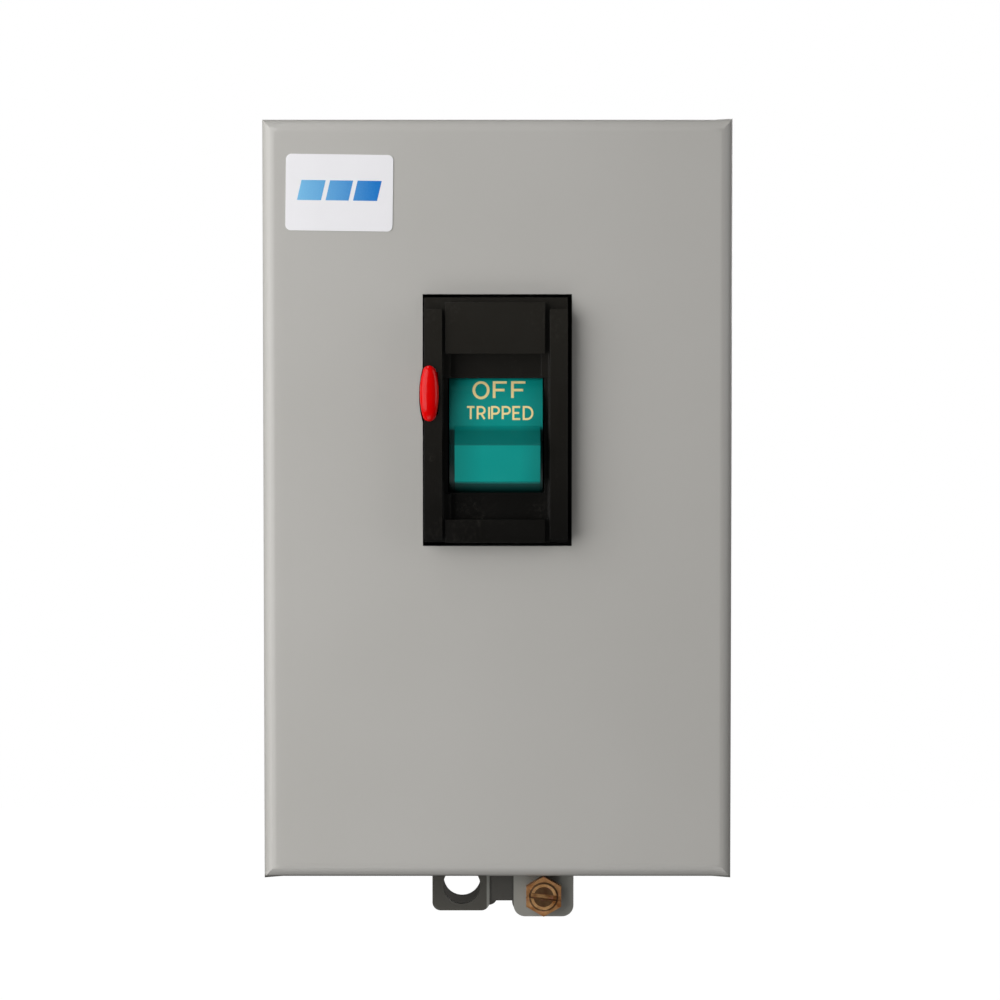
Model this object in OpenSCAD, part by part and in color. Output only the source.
// Motor protection breaker in a sheet-metal wall enclosure.
// Millimetres. The origin is on the wall plane at mid-height of the cover; +Z is up,
// +X is to the right of someone facing the front, and the front faces -Y.

/* [Enclosure] */
// Width of the cover
cover_w = 127; // [127:0.1:160]
// Height of the cover
cover_h = 205; // [205:0.1:250]
// Depth from the wall to the face of the cover
depth = 102; // [102:0.1:125]
// Sheet thickness of cover and base
sheet = 1.5; // [1.2:0.1:1.8]
// Outer radius of the folded cover edges
bend_r = 3.6; // [3:0.1:5]
// Depth of the cover's top and bottom lips
lip_d = 7; // [7:0.5:9]
// Gap between cover and base at the sides and at the top
cover_gap = 0.4; // [0.3:0.1:0.8]
// Gap between cover lip and base at the bottom, which the swinging cover needs
swing_gap = 0.8; // [0.7:0.1:1.5]
// Hole-to-hole width of the wall fixings
fix_w = 76.2; // [60:0.1:90]
// Hole-to-hole height of the wall fixings
fix_h = 177.8; // [174:0.1:184]
// Diameter of the wall fixing holes
fix_d = 7.1; // [5:0.1:9]
// Diameter of the conduit knockouts
knockout_d = 22.2; // [16:0.1:28]

/* [Cover opening] */
// Width of the opening
open_w = 40.3; // [39.8:0.1:41]
// Height of the opening
open_h = 68.1; // [67.6:0.1:70]
// Height of the opening's lower edge above mid-height
open_z = -12.6; // [-13.5:0.1:-12.4]

/* [Bottom tabs] */
// Diameter of the padlock hole
padlock_d = 10.3; // [8:0.1:11]
// Depth behind the cover face at which the screw tab stands
screw_tab_y = 7; // [7:0.1:9]
// Depth behind the cover face at which the padlock tab stands
lock_tab_y = 20; // [18:0.1:24]
// Distance from the cover's padlock tab back to the base's padlock plate
lock_step = 13.5; // [8:0.1:16]

/* [Operator] */
// How far the rails stand out of the cover
nose_out = 5.5; // [4:0.1:5.6]
// Width of the nose
nose_w = 38.6; // [38:0.1:39]
// Width of each rail
rail_w = 4.8; // [4.6:0.1:5]
// Width of the green rocker
rocker_w = 25.2; // [22:0.1:25.4]
// Radius of the rocker's legend face
rocker_r = 28; // [26:0.5:28.5]
// Width of the raised handle block
block_w = 23.1; // [18:0.1:24]
// Height of the handle block's front face
block_h = 10.8; // [8:0.1:12]
// How far the handle block stands out of the drum
block_out = 6; // [4:0.1:7]
// Angle that the rocker turns from OFF to ON
rocker_turn = 24.2; // [20:0.1:27]
// Travel of the lock-off tab
tab_travel = 8; // [7.8:0.1:9]
// Length of the lock-off tab's oval head
tab_len = 15; // [12:0.1:16]
// Width of the lock-off tab's oval head
tab_w = 5.1; // [4:0.1:5.4]

/* [Starter] */
// Distance between the three poles
pole = 24; // [24:0.1:26]
// Radius of the crank that drives the crossbar
crank_r = 11; // [9:0.1:11]
// Radial clearance of the turning pins
run = 0.05; // [0.02:0.01:0.08]
// Clearance between parts that slide past each other
gap = 0.4; // [0.3:0.05:0.5]

/* [Hidden] */
$fn = 64;
e = 0.01;

// enclosure
wall_y = -sheet;
face_y = -depth;
half_w = cover_w / 2;
half_h = cover_h / 2;
base_half = half_w - sheet - cover_gap;
base_top = half_h - sheet - cover_gap;
base_bot = -(half_h - sheet - swing_gap);
base_front = face_y + sheet + 1.5;
flange_d = 12;
hinge_y = face_y + lip_d;
hook_x = half_w - 17.5;
hook_w = 9;
hook_drop = 7;
hook_sweep = 4;
knockout_x = 28;
knockout_y = -32;
slug_gap = 0.4;
earth_x = half_w - 15.5;
earth_z = base_bot + 30.2;
screw_core = 1.95;
plate_hole_r = 2.4;
label_w = 29;
label_h = 20.4;
label_x = -half_w + 20.9;
label_z = half_h - 19.7;
label_t = 0.2;

// bottom tabs
screw_x = 12.6;
screw_z = -half_h - 6.1;
screw_tab_half = 8.2;
screw_tab_low = screw_z - 6.1;
screw_tab_r = 3.1;
screw_hole_r = 2.4;
screw_face_y = face_y + screw_tab_y;
lock_x = -9.9;
padlock_z = -half_h - 5.4;
lock_tab_left = lock_x - 8.1;
lock_tab_right = lock_x + 7.7;
lock_tab_low = padlock_z - 7;
lock_tab_r = 2.3;
tab_back = face_y + lock_tab_y;
lock_plate_y = tab_back + lock_step;
land_y = screw_face_y + sheet + 0.9;
land_left = screw_x - 8.6;
land_right = screw_x + 7.8;
land_low = screw_z - 5.4;
web_x = lock_tab_right + 0.6;
web_low = -half_h - 8.2;
shelf_back = lock_plate_y + 13;
rivet_x = [lock_x - 4.1, screw_x - 2.6];
rivet_y = lock_plate_y + 8;
rivet_r = 2;
nut_r = 4.6;
nut_t = 3.2;
dog_r = 2.05;

// nose, rocker and lock-off tab
nose_x = -0.4;
opening_x = -0.05;
rail_y = face_y - nose_out;
panel_y = rail_y + 1;
panel_half = 13.4;
panel_x = nose_x - 0.2;
nose_left = nose_x - nose_w / 2;
nose_right = nose_x + nose_w / 2;
nose_top = open_z + open_h - 0.9;
nose_bot = open_z + 1.2;
panel_top = nose_top - 1.3;
rail_top = nose_top - 3.1;
rail_bot = nose_bot + 1;
pivot_z = open_z + 29.9;
win_half = 15.5;
win_top = pivot_z + win_half;
win_bot = pivot_z - win_half;
recess_top = win_top + 6.8;
recess_bot = win_bot - 7;
lip_y = rail_y + 7.5;
cavity_half = rocker_w / 2 + gap;
channel_half = cavity_half + 1.1;
rib_w = 1.9;
rib_d = 3;
drum_set = 4;
pivot_y = rail_y + drum_set + rocker_r;
shell_t = 3.2;
cheek_t = 2;
hub_r = 4.5;
lug_x = [-7, 4];
lug_t = 3;
lug_r = 3.6;
rest_ang = rocker_turn / 2;
face_ang = asin(win_half / rocker_r) + rest_ang + 0.6;
edge_cut = 0.3;
pin_r = 2.5;
drive_r = 2;
stem_t = 2.4;
stem_h = 11;
stem_x = nose_left + rail_w / 2;
stem_len = tab_travel + 22;
tab_x = stem_x - 1.05;
tab_z = pivot_z + 11.6;
tab_hole_d = 6.6;
tab_hole_in = tab_hole_d / 2 + 0.8;
head_t = 2;
head_back = rail_y - 0.2;
notch_gap = 0.3;
swing_rise = 1.2;

// starter
plate_t = 2;
plate_y = wall_y - plate_t;
dev_x = 42;
dev_top = 80;
dev_bot = -49;
plate_low = dev_bot - 15;
plate_high = dev_top + 14;
plate_screw_z = [dev_bot - 9, dev_top + 7];
washer_r = 8;
block_y = -34;
case_half = 37;
case_top = 66;
case_bot = -16;
case_y = face_y + 12;
case_wall = 2.5;
ear_x = dev_x - 2.6;
ear_z = [case_bot + 12, case_top - 10];
ear_r = 2.6;
ear_t = 6;
cross_pin_r = 1.5;
strip_w = 9;
strip_t = 1.5;
floor_y = -8.5;
strip_y = floor_y - strip_t;
tip_r = 2.6;
tip_t = 1.3;
tip_z = 9;
contact_z = pivot_z + crank_r * cos(rest_ang);
pocket_half = 9;
pocket_low = contact_z - 24;
pocket_high = contact_z + 24;
line_pocket_low = pocket_high + 6;
load_pocket_high = case_bot - 2;
bridge_gap = 0.2;
bridge_t = 1.5;
bridge_half = tip_z + 3;
slide_travel = 2 * crank_r * sin(rest_ang);
tip_face = strip_y - tip_t;
bridge_y = tip_face - slide_travel - bridge_gap - tip_t - bridge_t;
carrier_y = bridge_y + 3;
float_d = 7.2;
bar_y = -60;
bar_t = 8;
bar_half_x = 33;
bar_half_z = 4;
pin_y = pivot_y - crank_r * sin(rest_ang);
arm_half = 2.6;
spring_x = 12;
trip_y = -52;
trip_z = 4;
latch_y = -61;
latch_z = -3;
latch_half = 3;
coil_x = 5;
line_z = dev_top - 12;
load_z = dev_bot + 6.5;
heater_top_z = -21;
heater_low_z = -33;
heater_z = (heater_top_z + heater_low_z) / 2;
heater_front = strip_y - 14;
bimetal_y = -41;
bimetal_t = 0.8;
poles = [-pole, 0, pole];

// ---------- helpers ----------
// a block given by its low and high corners
module span(lo, hi) {
    translate(lo) cube(hi - lo);
}

// cylinder along Y from y0 to y1 (y0 is nearer the front)
module rod_y(x, z, y0, y1, r) {
    translate([x, y1, z]) rotate([90, 0, 0]) cylinder(r = r, h = y1 - y0);
}

// cylinder along X
module rod_x(y, z, x0, x1, r) {
    translate([x0, y, z]) rotate([0, 90, 0]) cylinder(r = r, h = x1 - x0);
}

// cylinder along Z
module rod_z(x, y, z0, z1, r) {
    translate([x, y, z0]) cylinder(r = r, h = z1 - z0);
}

// flat outline drawn in X and Z, given depth along Y
module plate_xz(y0, y1) {
    translate([0, y1, 0]) rotate([90, 0, 0]) linear_extrude(y1 - y0) children();
}

// outline drawn in Y and Z, given width along X
module plate_yz(x0, x1) {
    translate([x0, 0, 0]) rotate([90, 0, 90]) linear_extrude(x1 - x0) children();
}

module stadium(w, h) {
    square([w, h - w], center = true);
    for (s = [-1, 1]) translate([0, s * (h - w) / 2]) circle(d = w);
}

// oval of four arcs that run into each other
module oval(w, h) {
    end_r = 0.36 * w;
    reach = h / 2 - end_r;
    side_r = (w * w / 4 + reach * reach - end_r * end_r) / (w - 2 * end_r);
    join = reach * side_r / (side_r - end_r);
    intersection() {
        translate([side_r - w / 2, 0]) circle(r = side_r);
        translate([w / 2 - side_r, 0]) circle(r = side_r);
        square([w, 2 * join], center = true);
    }
    for (s = [-1, 1]) translate([0, s * reach]) circle(r = end_r);
}

// rectangle whose two lower corners are rounded; top edge at z1
module tab_outline(x0, x1, z0, z1, r) {
    translate([x0, z0 + r]) square([x1 - x0, z1 - z0 - r]);
    translate([x0 + r, z0]) square([x1 - x0 - 2 * r, r + e]);
    for (x = [x0 + r, x1 - r]) translate([x, z0 + r]) circle(r = r);
}

module rounded_rect(w, h, r) {
    square([w - 2 * r, h], center = true);
    square([w, h - 2 * r], center = true);
    for (x = [-1, 1], y = [-1, 1]) translate([x * (w / 2 - r), y * (h / 2 - r)]) circle(r = r);
}

// outline, seen along one axis, of a folded box: half size h, front at y = front
module fold_outline(h, front, back, r) {
    translate([-h, front + r]) square([2 * h, back - front - r]);
    translate([-h + r, front]) square([2 * h - 2 * r, r + e]);
    for (s = [-1, 1]) translate([s * (h - r), front + r]) circle(r = r);
}

// slotted screw along Y with its head towards the front; shank ends at y1
module slotted_screw(x, z, head_y, y1, r, head_r, head_h, angle) {
    difference() {
        union() {
            rod_y(x, z, head_y, head_y + head_h, head_r);
            rod_y(x, z, head_y + head_h - e, y1, r);
        }
        translate([x, head_y, z]) rotate([0, angle, 0])
            cube([3 * head_r, head_h, 0.25 * head_r], center = true);
    }
}

// corrugated sleeve that stands for a coil spring, along Y
module spring_y(x, z, y0, y1, r, wire, turns) {
    pitch = (y1 - y0) / turns;
    outer = [for (i = [0 : turns - 1], p = [[r - wire / 2, 0], [r + wire / 2, 0.5]])
             [p[0], (i + p[1]) * pitch]];
    inner = [for (i = [turns - 1 : -1 : 0], p = [[r - wire / 2, 0.5], [r - 1.5 * wire, 0]])
             [p[0], (i + p[1]) * pitch]];
    outline = concat(outer, [[r - wire / 2, y1 - y0], [r - 1.5 * wire, y1 - y0]], inner);
    translate([x, y1, z]) rotate([90, 0, 0]) rotate_extrude() polygon(outline);
}

// ---------- enclosure base ----------
module wall_fixings(y0, y1, r) {
    for (x = [-1, 1], z = [-1, 1]) rod_y(x * fix_w / 2, z * fix_h / 2, y0, y1, r);
}

module base_shell() {
    difference() {
        span([-base_half, base_front, base_bot], [base_half, 0, base_top]);
        span([-base_half - 1, base_front - 1, base_bot + sheet],
             [base_half + 1, wall_y, base_top - sheet]);
    }
    for (x = [-base_half, base_half - sheet])
        span([x, -flange_d, base_bot + e], [x + sheet, -e, base_top - e]);
}

module base_pan() {
    color("darkgray") difference() {
        base_shell();
        for (x = [-knockout_x, knockout_x], z = [base_bot - 1, base_top - sheet - 1])
            rod_z(x, knockout_y, z, z + sheet + 2, knockout_d / 2);
        wall_fixings(wall_y - 1, 1, fix_d / 2);
        // slots for the cover's hooks, long enough for their swing
        for (x = [-hook_x, hook_x])
            span([x - hook_w / 2 - gap, hinge_y - hook_sweep, base_top - sheet - 1],
                 [x + hook_w / 2 + gap, hinge_y + 0.3, base_top + 1]);
        rod_y(earth_x, earth_z, wall_y - 1, 1, screw_core + run);
        for (z = plate_screw_z) rod_y(0, z, wall_y - 1, 1, screw_core + run);
        for (x = rivet_x) rod_z(x, rivet_y, base_bot - 1, base_bot + sheet + 1, rivet_r);
    }
}

module knockout_slugs() {
    color("darkgray") for (x = [-knockout_x, knockout_x], z = [base_bot, base_top - sheet])
        rod_z(x, knockout_y, z, z + sheet, (knockout_d - slug_gap) / 2);
}

// ---------- bottom tabs ----------
// Z-shaped bracket under the base: a padlock plate at the back, a web that comes forward
// and a landing plate behind the cover's screw tab
module lock_bracket() {
    top = base_bot - e;
    color([0.4, 0.39, 0.37]) difference() {
        union() {
            plate_xz(lock_plate_y, lock_plate_y + sheet)
                tab_outline(lock_tab_left, web_x + sheet, lock_tab_low, top, lock_tab_r);
            plate_xz(land_y, land_y + sheet)
                tab_outline(land_left, land_right, land_low, top, screw_tab_r);
            span([web_x, land_y, web_low], [web_x + sheet, lock_plate_y + sheet, top]);
            span([web_x, land_y, web_low], [land_left + screw_tab_r, land_y + sheet, top]);
            span([web_x, land_y, top - sheet], [land_right, shelf_back, top]);
            span([lock_tab_left, lock_plate_y, top - sheet], [land_right, shelf_back, top]);
        }
        rod_y(lock_x, padlock_z, lock_plate_y - 1, lock_plate_y + sheet + 1, padlock_d / 2);
        rod_y(screw_x, screw_z, land_y - 1, land_y + sheet + 1, nut_r - 2);
        for (x = rivet_x) rod_z(x, rivet_y, top - sheet - 1, top + 1, rivet_r);
    }
}

module bracket_rivets() {
    low = base_bot - sheet - e;
    color("silver") for (x = rivet_x) {
        rod_z(x, rivet_y, low - 1, low, rivet_r + 1.4);
        rod_z(x, rivet_y, low - e, base_bot + sheet + e, rivet_r);
        rod_z(x, rivet_y, base_bot + sheet, base_bot + sheet + 0.8, rivet_r + 1);
    }
}

module clinch_nut() {
    y0 = land_y + sheet;
    color("silver") difference() {
        translate([screw_x, y0 + nut_t, screw_z]) rotate([90, 0, 0])
            cylinder(r = nut_r, h = nut_t, $fn = 6);
        rod_y(screw_x, screw_z, y0 - 1, y0 + nut_t + 1, dog_r + 0.5);
    }
}

// ---------- cover ----------
// box with rolled edges, open at the back; inset shrinks it evenly
module cover_solid(inset) {
    back = -1 + 2 * inset;
    intersection() {
        translate([0, 0, -half_h + inset]) linear_extrude(cover_h - 2 * inset)
            fold_outline(half_w - inset, face_y + inset, back, bend_r - inset);
        translate([-half_w + inset, 0, 0]) rotate([90, 0, 90]) linear_extrude(cover_w - 2 * inset)
            mirror([1, -1]) fold_outline(half_h - inset, face_y + inset, back, bend_r - inset);
    }
}

// opening for the nose, with a side notch that clears the lock-off tab as the cover swings
module opening_outline() {
    translate([opening_x, open_z + open_h / 2]) square([open_w, open_h], center = true);
    for (i = [0 : 4]) translate([tab_x, tab_z - swing_rise * i / 4])
        oval(tab_w + 2 * notch_gap, tab_len + 2 * notch_gap);
}

module cover() {
    color([0.68, 0.68, 0.66]) {
        difference() {
            cover_solid(0);
            cover_solid(sheet);
            // lips stop short; the base's own walls close top and bottom
            for (z = [-half_h - e, half_h - sheet - e])
                span([-half_w + sheet, hinge_y, z], [half_w - sheet, 1, z + sheet + 2 * e]);
            plate_xz(face_y - 1, face_y + sheet + 1) opening_outline();
        }
        // hooks bent down from the top lip
        for (x = [-hook_x, hook_x])
            span([x - hook_w / 2, hinge_y - sheet, base_top - hook_drop],
                 [x + hook_w / 2, hinge_y, half_h - e]);
        screw_tab();
        lock_tab();
    }
}

module screw_tab() {
    left = screw_x - screw_tab_half;
    right = screw_x + screw_tab_half;
    span([left, hinge_y - e, -half_h], [right, screw_face_y + sheet, -half_h + sheet]);
    difference() {
        plate_xz(screw_face_y, screw_face_y + sheet)
            tab_outline(left, right, screw_tab_low, -half_h + sheet, screw_tab_r);
        rod_y(screw_x, screw_z, screw_face_y - 1, screw_face_y + sheet + 1, screw_hole_r + run);
    }
}

module lock_tab() {
    difference() {
        union() {
            span([lock_tab_left, hinge_y - e, -half_h], [lock_tab_right, tab_back, -half_h + sheet]);
            plate_xz(tab_back - sheet, tab_back)
                tab_outline(lock_tab_left, lock_tab_right, lock_tab_low, -half_h + sheet, lock_tab_r);
        }
        rod_y(lock_x, padlock_z, tab_back - sheet - 1, tab_back + 1, padlock_d / 2);
    }
}

module nameplate_label() {
    color("white") plate_xz(face_y - label_t, face_y)
        translate([label_x, label_z]) rotate(0.8) rounded_rect(label_w, label_h, 1.6);
}

// circuit diagram stuck inside the cover
module wiring_label() {
    y0 = face_y + sheet;
    color("white") span([half_w - 38.5, y0, -70], [half_w - 5.5, y0 + label_t, -20]);
}

module cover_screw() {
    head_y = screw_face_y - 5;
    hex_back = head_y + 3.6;
    color([0.62, 0.5, 0.3]) difference() {
        union() {
            translate([screw_x, hex_back, screw_z]) rotate([90, 0, 0]) rotate(30)
                cylinder(r = 5.5, h = 3.2, $fn = 6);
            rod_y(screw_x, screw_z, head_y, head_y + 1, 3.6);
            rod_y(screw_x, screw_z, hex_back - e, screw_face_y, 4.5);
            rod_y(screw_x, screw_z, screw_face_y - e, screw_face_y + sheet + 0.7, screw_hole_r);
            rod_y(screw_x, screw_z, screw_face_y, land_y + sheet + nut_t, dog_r);
        }
        translate([screw_x, head_y, screw_z]) rotate([0, 7, 0]) cube([16, 2.4, 1.4], center = true);
    }
}

module screw_retainer() {
    y0 = screw_face_y + sheet + 0.1;
    color("white") difference() {
        rod_y(screw_x, screw_z, y0, y0 + 0.6, 4.2);
        rod_y(screw_x, screw_z, y0 - 1, y0 + 2, screw_hole_r);
    }
}

// ---------- starter: fixed parts ----------
module mounting_plate() {
    color("silver") difference() {
        span([-dev_x, plate_y, plate_low], [dev_x, wall_y, plate_high]);
        for (z = plate_screw_z) rod_y(0, z, plate_y - 1, 0, plate_hole_r);
        wall_fixings(plate_y - 1, 0, washer_r);
    }
}

module plate_screws() {
    color("silver") for (z = plate_screw_z)
        slotted_screw(0, z, plate_y - 2.2, -0.1, screw_core, 4, 2.2, 20);
}

module pocket(x, z0, z1) {
    span([x - pocket_half, block_y - 1, z0], [x + pocket_half, floor_y, z1]);
}

module contact_block() {
    color([0.2, 0.2, 0.2]) difference() {
        span([-dev_x, block_y, dev_bot], [dev_x, plate_y, dev_top]);
        for (x = poles) {
            pocket(x, pocket_low, pocket_high);
            pocket(x, line_pocket_low, dev_top + 1);
            pocket(x, dev_bot - 1, load_pocket_high);
            // grooves that let the current strips through the cross walls
            span([x - strip_w / 2 - 0.1, strip_y - 0.1, load_pocket_high - 4],
                 [x + strip_w / 2 + 0.1, floor_y, line_pocket_low + 2]);
        }
        for (x = [-ear_x, ear_x], z = ear_z) rod_y(x, z, block_y - 1, block_y + 12, 1.3);
    }
}

module strip(x, z0, z1) {
    span([x - strip_w / 2, strip_y, z0], [x + strip_w / 2, floor_y, z1]);
}

module line_strips() {
    color("goldenrod") for (x = poles) difference() {
        strip(x, contact_z + tip_z - 4, dev_top - 4);
        rod_y(x, line_z, strip_y - 1, floor_y + 1, 1.8);
    }
}

module middle_strips() {
    color("goldenrod") for (x = poles) difference() {
        strip(x, heater_top_z - 4, contact_z - tip_z + 4);
        rod_y(x, heater_top_z, strip_y - 1, floor_y + 1, 1.5);
    }
}

module load_strips() {
    color("goldenrod") for (x = poles) difference() {
        strip(x, dev_bot + 0.5, heater_low_z + 4);
        rod_y(x, heater_low_z, strip_y - 1, floor_y + 1, 1.5);
        rod_y(x, load_z, strip_y - 1, floor_y + 1, 1.8);
    }
}

module terminal_screws(z) {
    for (x = poles) slotted_screw(x, z, strip_y - 7, floor_y - 0.05, 1.75, 3.4, 2.4, 35);
}

module line_screws() {
    color("silver") terminal_screws(line_z);
}

module load_screws() {
    color("silver") terminal_screws(load_z);
}

module pressure_plates() {
    y0 = strip_y - 4.6;
    color("silver") for (x = poles, z = [line_z, load_z]) difference() {
        span([x - 4, y0, z - 4], [x + 4, y0 + 1, z + 4]);
        rod_y(x, z, y0 - 1, y0 + 2, 1.8);
    }
}

module fixed_tips() {
    color("silver") for (x = poles, s = [-1, 1])
        rod_y(x, contact_z + s * tip_z, tip_face, strip_y, tip_r);
}

// plug-in coil that carries the motor current and warms the bimetal in front of it
module heater_elements() {
    color([0.55, 0.45, 0.35]) for (x = poles) difference() {
        union() {
            span([x - 4, strip_y - 1, heater_top_z - 3.5], [x + 4, strip_y, heater_top_z + 2.2]);
            span([x - 4, strip_y - 1, heater_low_z - 2.5], [x + 4, strip_y, heater_low_z + 3.2]);
            for (z = [heater_z - 3.5, heater_z + 2.5])
                span([x - 2, strip_y - 9, z], [x + 2, strip_y - e, z + 1]);
            rod_y(x, heater_z, heater_front, strip_y - 4, 4.4);
        }
        for (z = [heater_top_z, heater_low_z]) rod_y(x, z, strip_y - 3, strip_y + 1, 1.5);
    }
}

module heater_screws() {
    color("silver") for (x = poles, z = [heater_top_z, heater_low_z])
        slotted_screw(x, z, strip_y - 3, floor_y - 0.05, 1.45, 2.4, 2, 60);
}

module mechanism_case() {
    color([0.16, 0.16, 0.16]) difference() {
        union() {
            span([-case_half, case_y, case_bot], [case_half, block_y, case_top]);
            for (x = [-ear_x, ear_x], z = ear_z)
                span([x - ear_r, block_y - ear_t, z - ear_r], [x + ear_r, block_y, z + ear_r]);
        }
        span([-case_half + case_wall, case_y + case_wall, case_bot + case_wall],
             [case_half - case_wall, block_y + 1, case_top - case_wall]);
        // window for the rocker
        span([nose_x - cavity_half, case_y - 1, pivot_z - rocker_r + 1.1],
             [nose_x + cavity_half, case_y + case_wall + 1, pivot_z + rocker_r - 1.3]);
        // bores for the three cross pins
        rod_x(pivot_y, pivot_z, -case_half - 1, case_half + 1, pin_r);
        rod_x(trip_y, trip_z, -case_half - 1, case_half + 1, cross_pin_r);
        rod_x(latch_y, latch_z, -case_half - 1, case_half + 1, cross_pin_r);
        for (x = [-ear_x, ear_x], z = ear_z) rod_y(x, z, block_y - ear_t - 1, block_y + 1, 1.6);
        // slots for the bimetals
        for (x = poles)
            span([x - 3.5, bimetal_y - 3, case_bot - 1],
                 [x + 3.5, bimetal_y + 3, case_bot + case_wall + 1]);
        stem_slot();
    }
}

module stem_slot() {
    span([stem_x - stem_t / 2 - gap / 2, rail_y - 1, tab_z - stem_h / 2 - gap / 2],
         [stem_x + stem_t / 2 + gap / 2, case_y + 20, tab_z + stem_h / 2 + gap / 2]);
}

module case_screws() {
    head_h = 2.2;
    color("silver") for (x = [-ear_x, ear_x], z = ear_z)
        slotted_screw(x, z, block_y - ear_t - head_h, block_y + 9, 1.25, 2.3, head_h, 15);
}

module nose() {
    left = nose_x - channel_half;
    right = nose_x + channel_half;
    color([0.1, 0.1, 0.1]) {
        difference() {
            union() {
                span([nose_left, face_y - 1.5, nose_bot], [nose_right, case_y, nose_top]);
                for (x = [nose_left, nose_right - rail_w])
                    span([x, rail_y, rail_bot], [x + rail_w, face_y, rail_top]);
                for (z = [[recess_top, panel_top], [nose_bot, recess_bot]])
                    span([panel_x - panel_half, panel_y, z[0]], [panel_x + panel_half, face_y, z[1]]);
            }
            span([left, rail_y - 1, recess_bot], [right, lip_y, recess_top]);
            span([nose_x - cavity_half, lip_y - 1, win_bot], [nose_x + cavity_half, case_y + 1, win_top]);
            // cavity behind the window lips, round like the drum
            rod_x(pivot_y, pivot_z, nose_x - cavity_half, nose_x + cavity_half, rocker_r + 0.5);
            stem_slot();
        }
        // ribs on the side walls of the recess
        for (x = [left - e, right - rib_w])
            span([x, lip_y - rib_d, win_top + 0.3], [x + rib_w + e, lip_y + e, recess_top + e]);
        span([left - e, lip_y - rib_d, recess_bot - e], [left + rib_w, lip_y + e, win_bot - 0.3]);
    }
}

module rocker_pin() {
    color("silver") rod_x(pivot_y, pivot_z, -case_half, case_half, pin_r);
}

module trip_pin() {
    color("silver") rod_x(trip_y, trip_z, -case_half, case_half, cross_pin_r);
}

module latch_pin() {
    color("silver") rod_x(latch_y, latch_z, -case_half, case_half, cross_pin_r);
}

module latch_spring() {
    color("silver") difference() {
        rod_x(latch_y, latch_z, coil_x, coil_x + 6, 2.9);
        rod_x(latch_y, latch_z, coil_x - 1, coil_x + 7, cross_pin_r);
    }
}

// L-shaped strips whose free upper ends bend towards the trip bar when they warm
module bimetals() {
    foot_z = heater_z + 2;
    color([0.7, 0.66, 0.58]) for (x = poles) {
        span([x - 3, bimetal_y, foot_z + 1], [x + 3, bimetal_y + bimetal_t, trip_z - 4]);
        span([x - 3, bimetal_y, foot_z], [x + 3, heater_front - 3, foot_z + bimetal_t + 0.3]);
        rod_y(x, foot_z + bimetal_t / 2, heater_front - 4, heater_front - 0.1, 1.2);
    }
}

module detent_leaf() {
    x0 = stem_x + stem_t / 2 + 0.3;
    color("silver") span([x0, case_y + case_wall, tab_z - 4], [x0 + 0.4, case_y + 18, tab_z + 4]);
}

module ratings_label() {
    color("white") span([-30, case_y - label_t, case_top - 10], [30, case_y, case_top - 1]);
}

module earth_screw() {
    color("green") slotted_screw(earth_x, earth_z, -7.6, -0.1, screw_core, 4.2, 2.6, 50);
}

module earth_saddle() {
    half = 5.5;
    color("silver") {
        difference() {
            span([earth_x - half, -4.6, earth_z - half], [earth_x + half, -3.4, earth_z + half]);
            rod_y(earth_x, earth_z, -6, -2, screw_core + 0.1);
        }
        for (x = [earth_x - half, earth_x + half - 1.2])
            span([x, -3.5, earth_z - half], [x + 1.2, wall_y, earth_z + half]);
    }
}

// ---------- rocker and what it drives ----------
// sector of a disc about the pivot, between two angles measured from straight ahead
module sector(r, a0, a1) {
    far = 2 * r;
    intersection() {
        circle(r = r);
        polygon([[0, 0], for (i = [0 : 4]) let (a = a0 + (a1 - a0) * i / 4) [-far * cos(a), far * sin(a)]]);
    }
}

module rocker() {
    x0 = nose_x - rocker_w / 2;
    x1 = nose_x + rocker_w / 2;
    color([0, 0.52, 0.49]) translate([0, pivot_y, pivot_z]) rotate([rest_ang, 0, 0])
        difference() {
            union() {
                plate_yz(x0, x1) difference() {
                    sector(rocker_r, -face_ang, face_ang);
                    circle(r = rocker_r - shell_t);
                }
                for (x = [x0, x1 - cheek_t]) plate_yz(x, x + cheek_t) {
                    circle(r = hub_r + 0.5);
                    sector(rocker_r - 1, -face_ang, face_ang);
                }
                rod_x(0, 0, x0, x1, hub_r);
                for (x = lug_x) plate_yz(x, x + lug_t) {
                    translate([0, crank_r]) circle(r = lug_r);
                    translate([-lug_r, 0]) square([2 * lug_r, crank_r]);
                }
                handle_block();
            }
            rod_x(0, 0, x0 - 1, x1 + 1, pin_r + run);
            rod_x(0, crank_r, lug_x[0] - 1, lug_x[1] + lug_t + 1, drive_r);
        }
}

// raised block with sloping upper and lower faces
module handle_block() {
    front = -rocker_r - block_out;
    root = -rocker_r + 1;
    half = block_h / 2;
    plate_yz(opening_x - block_w / 2, opening_x + block_w / 2)
        polygon([[root, half + 3], [front + edge_cut, half], [front, half - edge_cut],
                 [front, -half + edge_cut], [front + edge_cut, -half], [root, -half - 1.2]]);
}

module drive_pin() {
    color("silver") rod_x(pin_y, contact_z, lug_x[0], lug_x[1] + lug_t, drive_r);
}

module crossbar() {
    slot_w = 2 * drive_r + 0.35;
    low = contact_z - bar_half_z;
    high = contact_z + bar_half_z;
    color([0.45, 0.3, 0.2]) difference() {
        union() {
            span([-bar_half_x, bar_y, low], [bar_half_x, bar_y + bar_t, high]);
            span([-arm_half, pin_y - 5, low - 0.4], [arm_half, bar_y + e, high + 1]);
            for (x = poles) span([x - 6, bar_y + bar_t - e, low], [x + 6, carrier_y, high]);
        }
        plate_yz(-arm_half - 1, arm_half + 1) translate([pin_y, contact_z + 0.15])
            stadium(slot_w, slot_w + 0.9);
        // windows in which the bridges float
        for (x = poles)
            span([x - 4.2, bridge_y - float_d, low - 1], [x + 4.2, bridge_y + bridge_t, high + 1]);
    }
}

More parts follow.
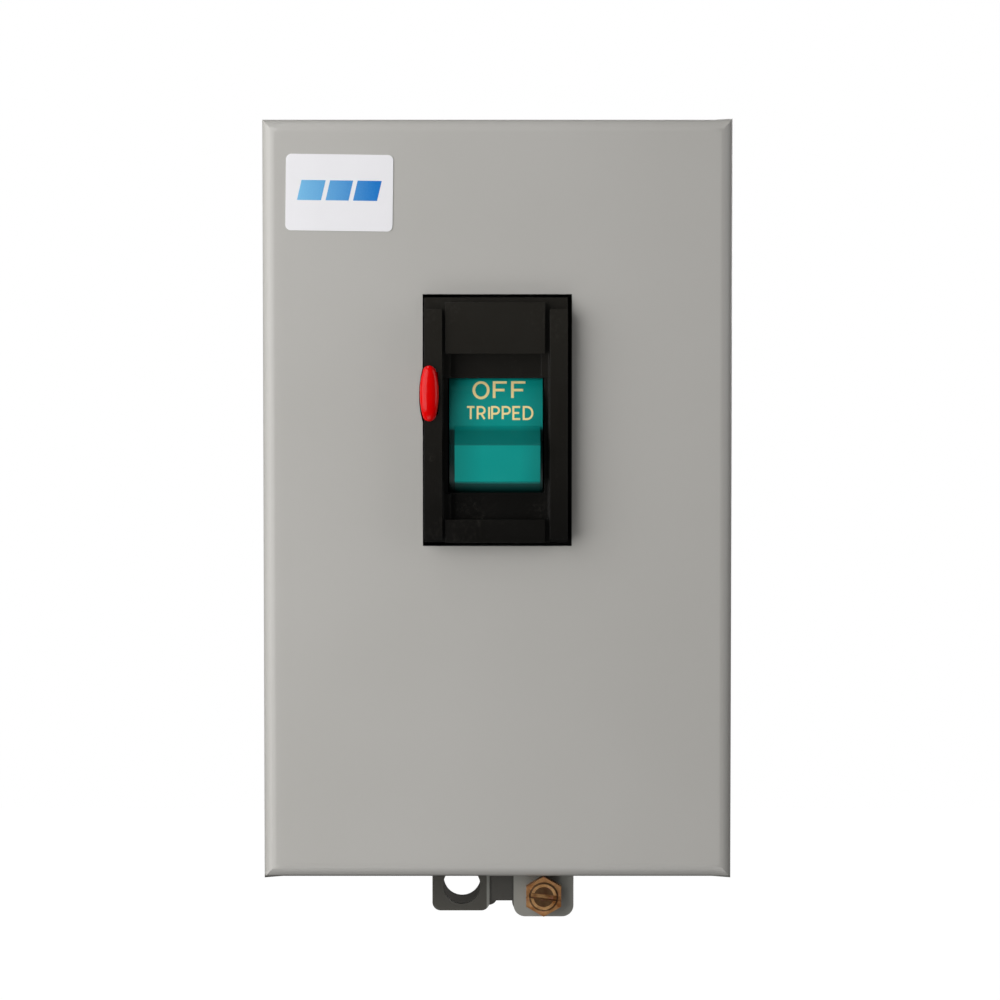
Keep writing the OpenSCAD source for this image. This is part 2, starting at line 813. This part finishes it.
module contact_bridges() {
    color("goldenrod") for (x = poles)
        span([x - 4, bridge_y, contact_z - bridge_half],
             [x + 4, bridge_y + bridge_t, contact_z + bridge_half]);
}

module moving_tips() {
    y0 = bridge_y + bridge_t;
    color("silver") for (x = poles, s = [-1, 1]) rod_y(x, contact_z + s * tip_z, y0, y0 + tip_t, tip_r);
}

module contact_springs() {
    color("silver") for (x = poles) spring_y(x, contact_z, bridge_y - float_d, bridge_y, 3, 0.9, 5);
}

module return_spring() {
    color("silver") for (x = [-spring_x, spring_x])
        spring_y(x, contact_z, bar_y + bar_t, block_y, 3, 1, 6);
}

module trip_bar() {
    half = pole + 7;
    color([0.75, 0.72, 0.6]) difference() {
        union() {
            rod_x(trip_y, trip_z, -half, half, 3.4);
            for (x = poles) span([x - 3, trip_y + 2, trip_z - 9], [x + 3, trip_y + 5, trip_z]);
        }
        rod_x(trip_y, trip_z, -half - 1, half + 1, cross_pin_r + run);
    }
}

module latch() {
    color("silver") difference() {
        union() {
            rod_x(latch_y, latch_z, -4, 4, 3.2);
            span([-latch_half, latch_y - 1.5, latch_z - 8], [latch_half, latch_y + 1.5, latch_z + 19]);
        }
        rod_x(latch_y, latch_z, -5, 5, cross_pin_r + run);
    }
}

module lockout_tab() {
    color([0.8, 0.02, 0.02]) difference() {
        union() {
            plate_xz(head_back - head_t, head_back) translate([tab_x, tab_z]) oval(tab_w, tab_len);
            span([stem_x - stem_t / 2, head_back - e, tab_z - stem_h / 2],
                 [stem_x + stem_t / 2, head_back + stem_len, tab_z + stem_h / 2]);
        }
        rod_x(head_back + tab_hole_in, tab_z, stem_x - stem_t, stem_x + stem_t, tab_hole_d / 2);
    }
}

base_pan();
knockout_slugs();
lock_bracket();
bracket_rivets();
clinch_nut();
earth_screw();
earth_saddle();
mounting_plate();
plate_screws();
contact_block();
mechanism_case();
case_screws();
nose();
line_strips();
middle_strips();
load_strips();
line_screws();
load_screws();
pressure_plates();
fixed_tips();
heater_elements();
heater_screws();
bimetals();
rocker_pin();
trip_pin();
latch_pin();
latch_spring();
detent_leaf();
ratings_label();
cover();
nameplate_label();
wiring_label();
cover_screw();
screw_retainer();
rocker();
drive_pin();
crossbar();
contact_bridges();
moving_tips();
contact_springs();
return_spring();
trip_bar();
latch();
lockout_tab();
